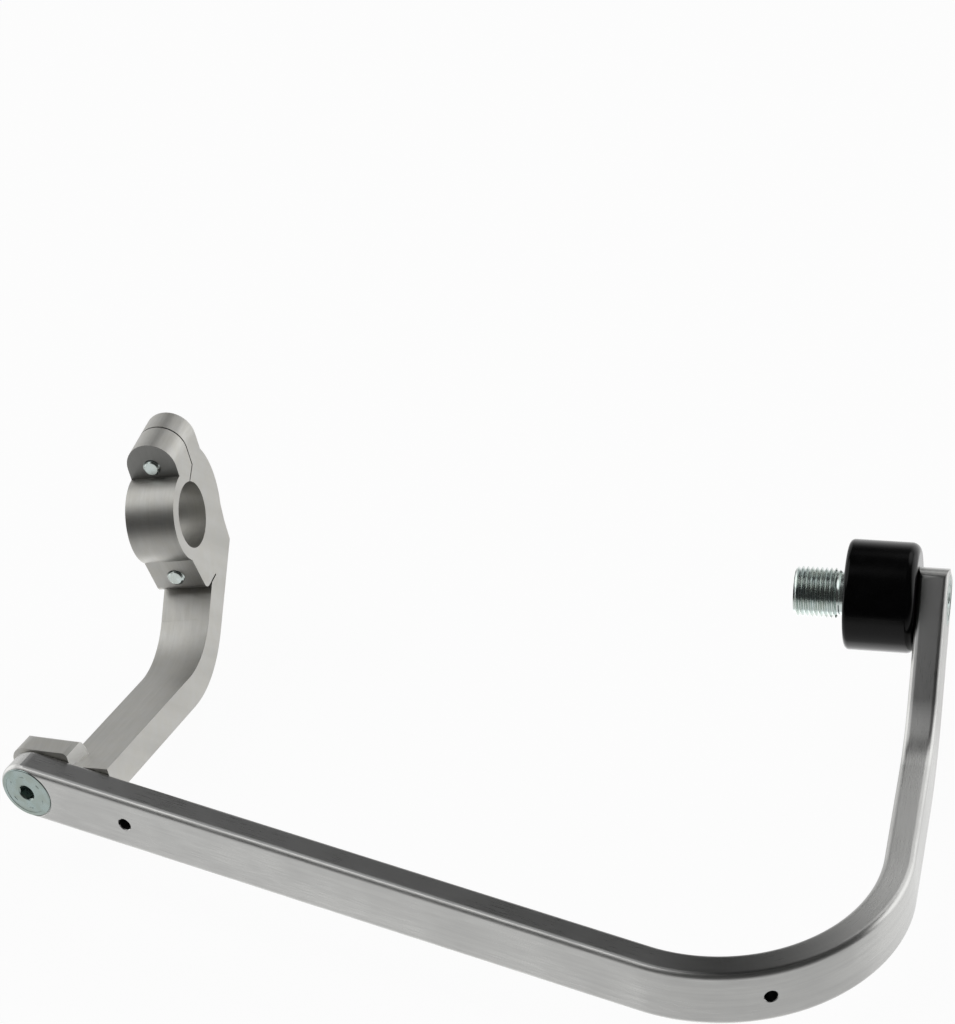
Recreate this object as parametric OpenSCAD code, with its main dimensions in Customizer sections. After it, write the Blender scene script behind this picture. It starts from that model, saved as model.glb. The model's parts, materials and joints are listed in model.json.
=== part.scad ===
// Motorcycle hand guard: a bent flat bar carried by a two-piece handlebar
// clamp on a machined arm, with a bar-end weight and threaded stud at its
// outer end. Sizes are in millimetres. The origin is the centre of the
// clamp bore; +X runs outwards along the front run, +Y back to the rider
// and +Z up.

/* [Guard bar] */
// width of the flat bar
bar_h = 20; // [14:0.5:30]
// thickness of the flat bar
bar_t = 9.6; // [6:0.2:14]
// rounding of the bar's long edges
bar_edge_r = 2; // [0.4:0.1:3]
// straight front run, from the inner bolt to the main bend
front_run = 216; // [150:1:300]
// centre-line radius of the main bend
bend_r = 53.7; // [35:0.1:90]
// angle the main bend turns through
bend_angle = 107.4; // [70:0.1:125]
// straight run between the two bends
side_run = 41.5; // [10:0.5:90]
// centre-line radius of the upward bend on edge
rise_r = 49.2; // [30:0.1:90]
// angle of the upward bend
rise_angle = 36.3; // [0:0.1:60]
// straight run from the upward bend to the weight axis
end_run = 35; // [20:0.5:80]
// bar left beyond the weight axis
end_over = 8.9; // [8.5:0.1:20]
// rounding of the corners at the outer end of the bar
end_corner = 5.4; // [1:0.1:8]
// diameter of the two cover holes
cover_hole_d = 4.2; // [2:0.1:8]
// first cover hole, from the inner bolt
cover_hole_x = 37; // [20:0.5:90]
// second cover hole, angle into the main bend
cover_hole_angle = 39.4; // [5:0.1:80]

/* [Clamp] */
// diameter of the handlebar the clamp closes on
clamp_bore_d = 22.2; // [19:0.1:32]
// width of clamp and arm along the handlebar
clamp_w = 17.4; // [10:0.1:30]
// outer radius of the cap's ring
ring_r = 15.3; // [13:0.1:24]
// radius of the arm's back behind the bore
back_r = 24.2; // [17:0.1:34]
// height of the upper screw above the bore
screw_up = 19.4; // [15:0.1:30]
// depth of the lower screw below the bore
screw_down = 18.5; // [15:0.1:30]
// front face of the cap's lower lug at its screw, forward of the bore centre
lug_front = 8.5; // [4:0.1:14]
// lean of the lower lug's front face
lug_lean = 14; // [0:0.5:25]
// rounding of the lower lug's front corner
lug_corner = 3.2; // [0.5:0.1:5]
// underside of the cap's lower lug, below the bore centre
lug_bottom = 25.4; // [20:0.1:36]
// back face of the cap's upper lug, behind the bore centre
split_up = 11; // [4:0.1:16]
// back face of the cap's lower lug, behind the bore centre
split_down = 2.5; // [0:0.1:8]
// open gap at the upper split
split_gap = 0.6; // [0.2:0.1:3]
// diameter of the clamp screws
clamp_screw_d = 6; // [4:0.5:8]
// diameter of the clamp screws' heads
clamp_head_d = 10; // [7:0.5:14]
// height of the clamp screws' heads
clamp_head_h = 6; // [3:0.5:9]
// seat of the upper screw's head, behind the bore centre
head_seat_up = 17.5; // [12:0.1:20]
// seat of the lower screw's head, behind the bore centre
head_seat_down = 15.5; // [12:0.1:20]
// tip of the upper screw, forward of the bore centre
screw_tip_up = 1; // [0:0.1:6]
// tip of the lower screw, forward of its lug
screw_tip_down = 1.2; // [0:0.1:4]

/* [Arm] */
// how far the bore centre lies inwards of the inner bolt
arm_x = 13.9; // [-30:0.1:40]
// how far the bore centre lies behind the bar's front face
arm_y = 113.2; // [80:0.1:150]
// how far the bore centre lies above the inner bolt
arm_z = 27; // [0:0.1:60]
// turn of the arm about the vertical
arm_yaw = 14.6; // [-5:0.1:30]
// swing of the arm about the inner bolt
arm_tilt = 11.5; // [-10:0.1:30]
// thickness of the arm
arm_t = 10.2; // [6:0.1:16]
// inner radius of the arm's bend
arm_bend_r = 33; // [15:0.5:60]
// slope of the arm below the clamp
arm_drop = 35.5; // [10:0.5:50]
// rise of the arm towards the bar
arm_rise = 12.5; // [0:0.5:30]

/* [Seat block] */
// thickness of the seat block at its top
seat_t = 6.3; // [4:0.1:14]
// thickness of the seat block at its foot
seat_foot = 9.9; // [8:0.1:20]
// outer end of the seat block, from the inner bolt
seat_out = 12.8; // [8:0.1:20]
// inner end of the seat block, from the inner bolt
seat_in = 10; // [8:0.1:16]
// rounding of the seat block's inner corners
seat_corner = 6; // [1:0.1:9]
// chamfer of the seat block's outer corners
seat_edge = 1; // [0.2:0.1:3]

/* [Bolts] */
// diameter of the inner and outer bolts
bolt_d = 8; // [6:0.5:12]
// diameter of the inner bolt's countersunk head
bolt_head_d = 18; // [12:0.5:24]
// diameter of the outer bolt's countersunk head
end_head_d = 16; // [12:0.5:18]
// height of the inner bolt's countersunk head
bolt_head_h = 5; // [3:0.1:7]
// width across flats of their hexagon sockets
bolt_socket = 5; // [3:0.5:8]
// length of the inner bolt
bolt_len = 20; // [16:1:40]

/* [Bar end] */
// diameter of the bar-end weight
weight_d = 35.2; // [25:0.1:50]
// length of the bar-end weight
weight_l = 22.5; // [12:0.1:50]
// rounding of the weight's edge beside the bar
weight_edge_out = 3; // [0.5:0.1:5]
// rounding of the weight's edge beside the handlebar
weight_edge_in = 1.6; // [0.5:0.1:4]
// diameter of the threaded stud
stud_d = 16; // [10:0.5:24]
// length of the stud beyond the weight
stud_l = 16.6; // [8:0.1:40]
// thread pitch of the stud
stud_pitch = 1.5; // [1:0.25:2.5]
// diameter of the stud's collar
collar_d = 19; // [16.5:0.1:26]
// thickness of the stud's collar
collar_t = 2.4; // [1:0.1:5]
// diameter of the hole through the end of the stud
stud_hole_d = 6.6; // [3:0.1:10]

/* [Hidden] */
$fn = 96;
hole_play = 0.4;
head_rim = 0.4;
bend_in = 0.03;
bend_over = 0.6;
arm_far = 90;
bore_r = clamp_bore_d / 2;
stud_in = 14;
sleeve_d = stud_d - 1;
sleeve_play = 0.2;
collar_play = 1.2;
head_play = 0.6;
head_edge = 0.6;
tip_edge = 0.8;
socket_deep = 3;

ALU = [0.72, 0.72, 0.70];
BAR = [0.76, 0.76, 0.75];
ZINC = [0.66, 0.70, 0.70];
BLACK = [0.08, 0.08, 0.09];

// the bar's own frame: inner bolt centre on the front face
module bar_frame() {
    translate([arm_x, -arm_y, -arm_z]) children();
}

// the clamp's own frame: X along the bore, Y back, Z up
module clamp_frame() {
    rotate([0, -arm_tilt, 0]) rotate([0, 0, arm_yaw]) children();
}

// extrude a side profile (x back, y up) across the clamp's width
module across(w) {
    rotate([90, 0, 90]) linear_extrude(height = w, center = true) children();
}

// a rectangle with rounded corners, from squares and circles
module round_rect(w, h, r) {
    square([w - 2 * r, h], center = true);
    square([w, h - 2 * r], center = true);
    for (x = [-1, 1], y = [-1, 1])
        translate([x * (w / 2 - r), y * (h / 2 - r)]) circle(r = r);
}

// straight length of bar along +X from the origin of its centre line
module bar_straight(l) {
    rotate([90, 0, 90]) linear_extrude(height = l) round_rect(bar_t, bar_h, bar_edge_r);
}

// a bend of the bar from -Y on, a hair slimmer than the straights it runs into
module bar_bend(r, angle, w, h) {
    rotate([0, 0, -90 - bend_over]) rotate_extrude(angle = angle + 2 * bend_over)
        translate([r, 0]) round_rect(w - 2 * bend_in, h - 2 * bend_in, bar_edge_r - bend_in);
}

// carry children to the end of the main bend, X along the bar
module after_bend() {
    translate([front_run, bend_r, 0]) rotate([0, 0, bend_angle])
        translate([0, -bend_r, 0]) children();
}

// carry children to the start of the last straight run
module after_rise() {
    after_bend() translate([side_run, 0, rise_r]) rotate([0, -rise_angle, 0])
        translate([0, 0, -rise_r]) children();
}

// the weight's axis: Z towards the handlebar, origin on the bar's front
module end_frame() {
    after_rise() translate([end_run, -bar_t / 2, 0]) rotate([-90, 0, 0]) children();
}

// carry children to the mid plane of the bar
module mid_plane() {
    bar_frame() translate([0, bar_t / 2, 0]) children();
}

// a clearance hole with its countersink, mouth at the origin facing -Z
// height of a head's cone, at the same slope for both bolts
function cone_h(head) = (bolt_head_h - head_rim) * (head - bolt_d) / (bolt_head_d - bolt_d);

module countersunk_hole(head) {
    translate([0, 0, -1]) cylinder(d = bolt_d + hole_play, h = bar_t + 2);
    translate([0, 0, -1]) cylinder(d = head + hole_play, h = 1 + head_rim);
    translate([0, 0, head_rim]) cylinder(d1 = head, d2 = bolt_d, h = cone_h(head));
}

// the inner end of the bar, rounded about the bolt
module bar_nose() {
    rotate([90, 0, 0]) translate([0, 0, -bar_t / 2]) {
        translate([0, 0, bar_edge_r]) cylinder(d = bar_h, h = bar_t - 2 * bar_edge_r);
        cylinder(d = bar_h - 2 * bar_edge_r, h = bar_t);
        for (z = [bar_edge_r, bar_t - bar_edge_r]) translate([0, 0, z])
            rotate_extrude() intersection() {
                translate([bar_h / 2 - bar_edge_r, 0]) circle(r = bar_edge_r);
                translate([0, -bar_t]) square([bar_h, 2 * bar_t]);
            }
    }
}

// outline of the bar's outer straight, with its two rounded corners
module end_outline() {
    tip = end_run + end_over;
    polygon([
        [-1, -bar_h], [-1, bar_h], [end_run, bar_h], [end_run, bar_h / 2],
        [tip - end_corner, bar_h / 2], [tip, bar_h / 2 - end_corner],
        [tip, -bar_h / 2 + end_corner], [tip - end_corner, -bar_h / 2],
        [end_run, -bar_h / 2], [end_run, -bar_h]
    ]);
    for (z = [-1, 1]) translate([tip - end_corner, z * (bar_h / 2 - end_corner)])
        circle(r = end_corner);
}

module guard_bar() color(BAR) difference() {
    union() {
        mid_plane() {
            bar_nose();
            bar_straight(front_run);
            translate([front_run, bend_r, 0]) bar_bend(bend_r, bend_angle, bar_t, bar_h);
            after_bend() {
                bar_straight(side_run);
                translate([side_run, 0, rise_r]) rotate([90, 0, 0])
                    bar_bend(rise_r, rise_angle, bar_h, bar_t);
            }
        }
        mid_plane() after_rise() intersection() {
            bar_straight(end_run + end_over);
            rotate([90, 0, 0]) translate([0, 0, -bar_t]) linear_extrude(height = 2 * bar_t)
                end_outline();
        }
    }
    bar_frame() rotate([-90, 0, 0]) countersunk_hole(bolt_head_d);
    mid_plane() end_frame() countersunk_hole(end_head_d);
    bar_frame() translate([cover_hole_x, -1, 0]) rotate([-90, 0, 0])
        cylinder(d = cover_hole_d, h = bar_t + 2);
    mid_plane() translate([front_run, bend_r, 0]) rotate([0, 0, cover_hole_angle])
        translate([0, -bend_r - bar_t / 2 - 1, 0]) rotate([-90, 0, 0])
        cylinder(d = cover_hole_d, h = bar_t + 2);
}

// side profiles of arm and cap, without the bore: x back, y up
bend_c = [-31.6, -6.7];
back_u = 20.4;
top_v = screw_up + clamp_w / 2;
notch = [-2.8, -lug_bottom - 1.2];
function on_arc(r, a) = [bend_c[0] + r * cos(a), bend_c[1] + r * sin(a)];
function along(p, a, d) = [p[0] + d * cos(a), p[1] + d * sin(a)];

// the leaning face of the cap's lower lug, and the round corner below it
function lug_face(v) = -lug_front - (v + screw_down) * tan(lug_lean);
lug_top = -7;
lug_low = lug_corner - lug_bottom;
lug_c = [(lug_corner - sin(lug_lean) * (screw_down + lug_low)) / cos(lug_lean) - lug_front,
    lug_low];
lug_tip = lug_low - lug_corner * sin(lug_lean);

// everything forward of the split, where the cap has its place
module cap_side(gap_up, gap_under) {
    polygon([[-40, -lug_bottom - gap_under], [split_down, -lug_bottom - gap_under],
        [split_down, 0], [5.6 + gap_up, 9.6 - gap_up / 2],
        [split_up + gap_up, 12.7 - gap_up / 2], [split_up + gap_up, 60], [-40, 60]]);
}

module cap_profile() intersection() {
    union() {
        circle(r = ring_r);
        translate([0, 8]) square([split_up, top_v - 8]);
        translate(lug_c) circle(r = lug_corner);
        polygon([[split_down, lug_top], [lug_face(lug_top), lug_top],
            [lug_face(lug_tip), lug_tip], [lug_c[0], -lug_bottom], [split_down, -lug_bottom]]);
    }
    cap_side(0, 0);
}

module arm_head_profile() difference() {
    union() {
        intersection() {
            circle(r = back_r);
            translate([1, -17]) square([40, 32.4]);
        }
        translate([8, 3]) square([back_u - 8, top_v - 3]);
        polygon([[1, -5], [back_u + 1.8, -5], [back_u + 1.8, -9], [back_u + 0.4, -16],
            [back_u, -23.5], on_arc(arm_bend_r + arm_t, arm_drop - 90),
            on_arc(arm_bend_r, arm_drop - 90), notch, [1, -24.2]]);
    }
    cap_side(split_gap, split_gap);
}

// the arm's bend and the straight that runs on to the bar
module arm_foot_profile() {
    difference() {
        intersection() {
            translate(bend_c) circle(r = arm_bend_r + arm_t - bend_in);
            polygon([bend_c, along(bend_c, arm_drop - 90 + bend_over, 80),
                along(bend_c, -95, 90), along(bend_c, -90 - arm_rise - bend_over, 80)]);
        }
        translate(bend_c) circle(r = arm_bend_r + bend_in);
    }
    translate(on_arc(arm_bend_r + arm_t, -90 - arm_rise)) rotate([0, 0, 180 - arm_rise])
        translate([0, -arm_t]) square([arm_far, arm_t]);
}

// the rounded top end shared by arm and cap, about the upper screw
module top_limit() {
    translate([-clamp_w / 2, -200, -200]) cube([clamp_w, 300, 200 + screw_up]);
    translate([0, -40, screw_up]) rotate([-90, 0, 0]) cylinder(d = clamp_w, h = 100);
}

module bore_cut() {
    rotate([0, 90, 0]) cylinder(r = bore_r, h = clamp_w + 2, center = true);
}

// seat block, swung with the arm about the bolt: side profile, x back and y up
module seat_profile() {
    polygon([[0, -bar_h / 2], [0, bar_h / 2], [seat_t, bar_h / 2],
        [seat_t + 2, bar_h / 2 - 1.5], [seat_foot - 0.6, bar_h / 2 - 4],
        [seat_foot - 0.2, bar_h / 2 - 7], [seat_foot, -2], [seat_foot, -bar_h / 2]]);
}

module seat_outline() {
    high = bar_h / 2;
    polygon([[-seat_in + seat_corner, -high], [seat_out - seat_edge, -high],
        [seat_out, -high + seat_edge], [seat_out, high - seat_edge],
        [seat_out - seat_edge, high], [-seat_in + seat_corner, high],
        [-seat_in, high - seat_corner], [-seat_in, -high + seat_corner]]);
    for (z = [-1, 1]) translate([-seat_in + seat_corner, z * (high - seat_corner)])
        circle(r = seat_corner);
}

module seat_block() {
    bar_frame() translate([0, bar_t, 0]) rotate([0, -arm_tilt, 0]) intersection() {
        translate([(seat_out - seat_in) / 2, 0, 0])
            across(seat_in + seat_out) seat_profile();
        rotate([90, 0, 0]) translate([0, 0, -40]) linear_extrude(height = 80) seat_outline();
    }
}

// a round cut that runs back from a given depth at a screw's height
module screw_hole(d, from, height) {
    translate([0, from, height]) rotate([-90, 0, 0]) cylinder(d = d, h = 3 * back_r);
}

module clamp_arm() color(ALU) difference() {
    union() {
        intersection() {
            clamp_frame() intersection() {
                across(clamp_w) {
                    arm_head_profile();
                    arm_foot_profile();
                }
                top_limit();
            }
            bar_frame() translate([-100, bar_t, -100]) cube([300, 300, 300]);
        }
        seat_block();
    }
    clamp_frame() {
        bore_cut();
        screw_hole(clamp_screw_d + hole_play, -back_r, screw_up);
        screw_hole(clamp_screw_d + hole_play, -back_r, -screw_down);
        screw_hole(clamp_head_d + head_play, head_seat_up, screw_up);
        screw_hole(clamp_head_d + head_play, head_seat_down, -screw_down);
    }
    bar_frame() translate([0, bar_t - 1, 0]) rotate([-90, 0, 0])
        cylinder(d = bolt_d, h = seat_foot + 2);
}

module clamp_cap() color(ALU) clamp_frame() difference() {
    intersection() {
        across(clamp_w) cap_profile();
        top_limit();
    }
    bore_cut();
    for (height = [screw_up, -screw_down]) screw_hole(clamp_screw_d, -back_r, height);
}

// socket-head screw: tip at the origin, running back along +Y
module clamp_screw(l) {
    rotate([-90, 0, 0]) difference() {
        union() {
            cylinder(d1 = clamp_screw_d - 2 * head_edge, d2 = clamp_screw_d, h = tip_edge);
            translate([0, 0, tip_edge]) cylinder(d = clamp_screw_d, h = l - tip_edge);
            translate([0, 0, l]) cylinder(d = clamp_head_d, h = clamp_head_h - head_edge);
            translate([0, 0, l + clamp_head_h - head_edge])
                cylinder(d1 = clamp_head_d, d2 = clamp_head_d - 2 * head_edge, h = head_edge);
        }
        translate([0, 0, l + clamp_head_h - socket_deep])
            cylinder(d = bolt_socket / cos(30), h = bar_t, $fn = 6);
    }
}

module clamp_screw_upper() color(ZINC) clamp_frame()
    translate([0, -screw_tip_up, screw_up]) clamp_screw(head_seat_up + screw_tip_up);

module clamp_screw_lower() color(ZINC) clamp_frame()
    translate([0, -lug_front - screw_tip_down, -screw_down])
        clamp_screw(head_seat_down + lug_front + screw_tip_down);

// countersunk bolt: head face at the origin, running along +Z
module countersunk_bolt(l, head) {
    difference() {
        union() {
            cylinder(d = head, h = head_rim);
            translate([0, 0, head_rim]) cylinder(d1 = head, d2 = bolt_d, h = cone_h(head));
            cylinder(d = bolt_d, h = l - tip_edge);
            translate([0, 0, l - tip_edge])
                cylinder(d1 = bolt_d, d2 = bolt_d - 2 * head_edge, h = tip_edge);
        }
        translate([0, 0, -1]) cylinder(d = bolt_socket / cos(30), h = 1 + socket_deep, $fn = 6);
    }
}

module arm_bolt() color(ZINC) bar_frame() rotate([-90, 0, 0])
    countersunk_bolt(bolt_len, bolt_head_d);

module bar_end_weight() color(BLACK) mid_plane() end_frame() translate([0, 0, bar_t])
difference() {
    rotate_extrude() union() {
        translate([0, weight_edge_out])
            square([weight_d / 2, weight_l - weight_edge_out - weight_edge_in]);
        square([weight_d / 2 - weight_edge_out, weight_l]);
        translate([0, weight_l - weight_edge_in])
            square([weight_d / 2 - weight_edge_in, weight_edge_in]);
        translate([weight_d / 2 - weight_edge_out, weight_edge_out]) circle(r = weight_edge_out);
        translate([weight_d / 2 - weight_edge_in, weight_l - weight_edge_in])
            circle(r = weight_edge_in);
    }
    translate([0, 0, -1]) cylinder(d = bolt_d + hole_play, h = weight_l + 2);
    translate([0, 0, weight_l - collar_t]) cylinder(d = collar_d + collar_play, h = collar_t + 1);
    translate([0, 0, weight_l - stud_in]) cylinder(d = sleeve_d + sleeve_play, h = stud_in + 1);
}

// the stud's outline: x radius, y along the axis from the collar's back
thread_r = stud_d / 2;
relief_r = thread_r - 0.75 * stud_pitch;
relief_l = 2;
thread_edge = 0.9;
thread_from = collar_t + relief_l;

module stud_outline() {
    polygon([[0, collar_t - stud_in], [sleeve_d / 2, collar_t - stud_in], [sleeve_d / 2, 0],
        [collar_d / 2, 0], [collar_d / 2, collar_t], [relief_r, collar_t],
        [relief_r, thread_from - thread_edge], [thread_r, thread_from],
        [thread_r, collar_t + stud_l - thread_edge],
        [thread_r - thread_edge, collar_t + stud_l], [0, collar_t + stud_l]]);
}

module bar_end_stud() color(ZINC) mid_plane() end_frame()
    translate([0, 0, bar_t + weight_l - collar_t]) difference() {
        rotate_extrude() stud_outline();
        translate([0, 0, -stud_in]) cylinder(d = bolt_d, h = stud_in + thread_from);
        cylinder(d = stud_hole_d, h = 2 * stud_l);
    }

module bar_end_bolt() color(ZINC) mid_plane() end_frame()
    countersunk_bolt(bar_t + weight_l + tip_edge, end_head_d);

guard_bar();
clamp_arm();
clamp_cap();
clamp_screw_upper();
clamp_screw_lower();
arm_bolt();
bar_end_weight();
bar_end_stud();
bar_end_bolt();
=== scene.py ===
"""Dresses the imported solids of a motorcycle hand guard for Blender 4.5.

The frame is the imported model: metres, with the origin at the centre of the
clamp's bore, +X outwards along the front run, +Y back to the rider and +Z up.
Every piece here stands where its solid stands and is modelled to the same
sizes, with the edges, threads, grain and marks that the solid leaves out.
"""

from __future__ import annotations

import json
import logging
import math
from dataclasses import dataclass
from enum import Enum
from typing import Callable, Sequence

import bmesh
import bpy
from mathutils import Matrix, Vector

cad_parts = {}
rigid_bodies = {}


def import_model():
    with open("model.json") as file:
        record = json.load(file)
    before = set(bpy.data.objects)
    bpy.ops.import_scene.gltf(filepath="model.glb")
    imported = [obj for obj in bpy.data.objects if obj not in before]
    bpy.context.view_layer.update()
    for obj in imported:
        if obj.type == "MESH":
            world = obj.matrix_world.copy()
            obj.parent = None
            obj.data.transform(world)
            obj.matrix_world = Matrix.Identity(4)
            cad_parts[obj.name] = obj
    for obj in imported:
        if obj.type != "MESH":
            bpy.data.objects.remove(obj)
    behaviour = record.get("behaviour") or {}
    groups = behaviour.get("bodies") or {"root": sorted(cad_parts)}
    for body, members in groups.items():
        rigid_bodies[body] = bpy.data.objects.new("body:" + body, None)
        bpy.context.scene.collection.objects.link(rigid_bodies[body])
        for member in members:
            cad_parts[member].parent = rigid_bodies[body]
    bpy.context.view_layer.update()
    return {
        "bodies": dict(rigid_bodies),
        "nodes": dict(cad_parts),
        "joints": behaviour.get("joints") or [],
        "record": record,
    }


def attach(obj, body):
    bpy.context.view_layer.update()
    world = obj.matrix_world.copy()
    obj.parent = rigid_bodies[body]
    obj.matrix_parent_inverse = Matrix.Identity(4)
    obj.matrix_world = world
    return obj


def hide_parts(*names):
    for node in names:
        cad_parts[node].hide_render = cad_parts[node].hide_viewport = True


LOG = logging.getLogger("hand_guard")

MM = 0.001
TINY = 1e-6
FLAT = 0.99
ROUND = 96
SMALL_ROUND = 32
THROUGH = 1.0

Shape = bpy.types.Object
Socket = bpy.types.NodeSocket
Point = Sequence[float]


def shift(x: float, y: float, z: float) -> Matrix:
    """Return the matrix that moves a point by x, y and z millimetres."""
    return Matrix.Translation(Vector((x, y, z)) * MM)


def turn(degrees: float, axis: str) -> Matrix:
    """Return the matrix that turns a point about a row axis."""
    return Matrix.Rotation(math.radians(degrees), 4, axis)


class Slot(Enum):
    """Material slots of the record."""

    BAR = "bar"
    ARM = "arm"
    ZINC = "zinc"
    WEIGHT = "weight"


class Pick(Enum):
    """What an edit-mode selection takes."""

    VERTS = "VERT"
    EDGES = "EDGE"
    FACES = "FACE"


class Cut(Enum):
    """How one mesh acts on another."""

    AWAY = "DIFFERENCE"
    JOIN = "UNION"


@dataclass(frozen=True)
class GuardSizes:
    """Driving sizes of the guard in millimetres and degrees, as in the solids."""

    bar_height: float = 20.0
    bar_thickness: float = 9.6
    bar_edge: float = 2.0
    front_run: float = 216.0
    bend_radius: float = 53.7
    bend_angle: float = 107.4
    side_run: float = 41.5
    rise_radius: float = 49.2
    rise_angle: float = 36.3
    end_run: float = 35.0
    end_over: float = 8.9
    end_corner: float = 5.4
    cover_hole: float = 4.2
    cover_hole_x: float = 37.0
    cover_hole_angle: float = 39.4
    arm_x: float = 13.9
    arm_y: float = 113.2
    arm_z: float = 27.0
    arm_yaw: float = 14.6
    arm_tilt: float = 11.5
    screw_up: float = 19.4
    screw_down: float = 18.5
    screw_tip_up: float = 1.0
    screw_tip_down: float = 9.7
    screw_seat_up: float = 17.5
    screw_seat_down: float = 15.5
    weight_length: float = 22.5
    inner_head: float = 18.0
    outer_head: float = 16.0
    inner_bolt: float = 20.0
    outer_bolt: float = 32.9

    @property
    def bar_frame(self) -> Matrix:
        """Frame of the bar: inner bolt centre on the bar's front face."""
        return shift(self.arm_x, -self.arm_y, -self.arm_z)

    @property
    def middle(self) -> Matrix:
        """Frame of the bar's mid plane, at the inner bolt."""
        return self.bar_frame @ shift(0, self.bar_thickness / 2, 0)

    @property
    def after_bend(self) -> Matrix:
        """Frame at the end of the main bend, within the mid plane frame."""
        centre = shift(self.front_run, self.bend_radius, 0)
        return centre @ turn(self.bend_angle, "Z") @ shift(0, -self.bend_radius, 0)

    @property
    def after_rise(self) -> Matrix:
        """Frame at the end of the upward bend, within the mid plane frame."""
        centre = self.after_bend @ shift(self.side_run, 0, self.rise_radius)
        return centre @ turn(-self.rise_angle, "Y") @ shift(0, 0, -self.rise_radius)

    @property
    def end_frame(self) -> Matrix:
        """Frame of the bar-end weight: Z towards the handlebar."""
        place = shift(self.end_run, -self.bar_thickness / 2, 0)
        return self.middle @ self.after_rise @ place @ turn(-90, "X")

    @property
    def clamp_frame(self) -> Matrix:
        """Frame of the clamp: X along its bore, Y back and Z up."""
        return turn(-self.arm_tilt, "Y") @ turn(self.arm_yaw, "Z")

    @property
    def bend_end(self) -> float:
        """Length of the centre line up to the end of the main bend."""
        return self.front_run + self.bend_radius * math.radians(self.bend_angle)

    @property
    def rise_end(self) -> float:
        """Length of the centre line up to the end of the upward bend."""
        return self.bend_end + self.side_run + self.rise_radius * math.radians(self.rise_angle)


class Bench:
    """Work in edit mode on one shape, as done by hand."""

    def __init__(self, shape: Shape) -> None:
        """Take the shape to work on.

        Args:
            shape: The mesh object that the tools act on.
        """
        self.shape = shape

    def __enter__(self) -> Bench:
        """Open the shape in edit mode with nothing selected."""
        make_active(self.shape)
        bpy.ops.object.mode_set(mode="EDIT")
        bpy.ops.mesh.select_all(action="DESELECT")
        return self

    def __exit__(self, *_: object) -> None:
        """Go back to object mode."""
        bpy.ops.object.mode_set(mode="OBJECT")

    def pick(self, kind: Pick, test: Callable[[object], bool]) -> None:
        """Select the parts that pass a test, and nothing else.

        Args:
            kind: Vertices, edges or faces.
            test: Called with each bmesh element of that kind.
        """
        bpy.ops.mesh.select_mode(type=kind.value)
        bpy.ops.mesh.select_all(action="DESELECT")
        mesh = bmesh.from_edit_mesh(self.shape.data)
        parts = {Pick.VERTS: mesh.verts, Pick.EDGES: mesh.edges, Pick.FACES: mesh.faces}[kind]
        for part in [part for part in parts if test(part)]:
            part.select_set(True)
        mesh.select_flush_mode()
        bmesh.update_edit_mesh(self.shape.data)

    def pick_ring(self, height: float) -> None:
        """Select the edges that lie at one height along Z, in metres."""
        self.pick(Pick.EDGES, lambda e: all(abs(v.co.z - height) < TINY for v in e.verts))

    def pick_cap(self, height: float, way: int) -> None:
        """Select the flat face at one height along Z.

        Args:
            height: The height in metres.
            way: 1 for a face that looks up, and -1 for one that looks down.
        """
        self.pick(
            Pick.FACES,
            lambda f: way * f.normal.z > FLAT and abs(f.calc_center_median().z - height) < TINY,
        )

    def pick_all(self) -> None:
        """Select the whole shape."""
        bpy.ops.mesh.select_all(action="SELECT")

    def pull(self, x: float, y: float, z: float) -> None:
        """Extrude the selected face by x, y and z metres."""
        bpy.ops.mesh.extrude_region_move(TRANSFORM_OT_translate={"value": (x, y, z)})

    def inset(self, width: float) -> None:
        """Inset the selected face by a width in metres."""
        bpy.ops.mesh.inset(thickness=width, use_even_offset=True)

    def round_edges(self, width: float, steps: int, clamped: bool = True) -> None:
        """Bevel the selected edges.

        Args:
            width: Width of the bevel in metres.
            steps: How many facets it has.
            clamped: Whether the width is held back at short neighbours.
        """
        bpy.ops.mesh.bevel(
            offset=width, segments=steps, profile=0.5, affect="EDGES", clamp_overlap=clamped
        )

    def slice(self, point: Vector, normal: Vector) -> None:
        """Cut the selection with a plane, and close what is left behind it.

        Args:
            point: A point of the plane.
            normal: The side of the plane that is thrown away.
        """
        bpy.ops.mesh.bisect(
            plane_co=point, plane_no=normal, use_fill=True, clear_outer=True, threshold=TINY / 10
        )

    def tidy(self, gap: float = TINY) -> None:
        """Merge doubles and point all faces outwards."""
        self.pick_all()
        bpy.ops.mesh.remove_doubles(threshold=gap)
        bpy.ops.mesh.normals_make_consistent(inside=False)


def clear_selection() -> None:
    """Deselect every object."""
    bpy.ops.object.select_all(action="DESELECT")


def make_active(shape: Shape) -> None:
    """Select one shape alone and make it the active one."""
    clear_selection()
    shape.select_set(True)
    bpy.context.view_layer.objects.active = shape


def modify(shape: Shape, kind: str, **settings: object) -> None:
    """Add a modifier of a kind to a shape, set its properties and apply it."""
    make_active(shape)
    step = shape.modifiers.new(kind.lower(), kind)
    for key, value in settings.items():
        setattr(step, key, value)
    bpy.ops.object.modifier_apply(modifier=step.name)


def take(name: str) -> Shape:
    """Name the object that an operator has just added, and return it."""
    shape = bpy.context.object
    shape.name = name
    shape.data.name = name
    return shape


def rod(name: str, radius: float, length: float, sides: int = ROUND) -> Shape:
    """Add a cylinder that stands on the origin along +Z.

    Args:
        name: Name of the new shape.
        radius: Radius in millimetres.
        length: Length in millimetres.
        sides: How many sides it has.

    Returns:
        The new shape.
    """
    clear_selection()
    bpy.ops.mesh.primitive_cylinder_add(
        vertices=sides, radius=radius * MM, depth=length * MM, location=(0, 0, length * MM / 2)
    )
    shape = take(name)
    fix_place(shape)
    return shape


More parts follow.
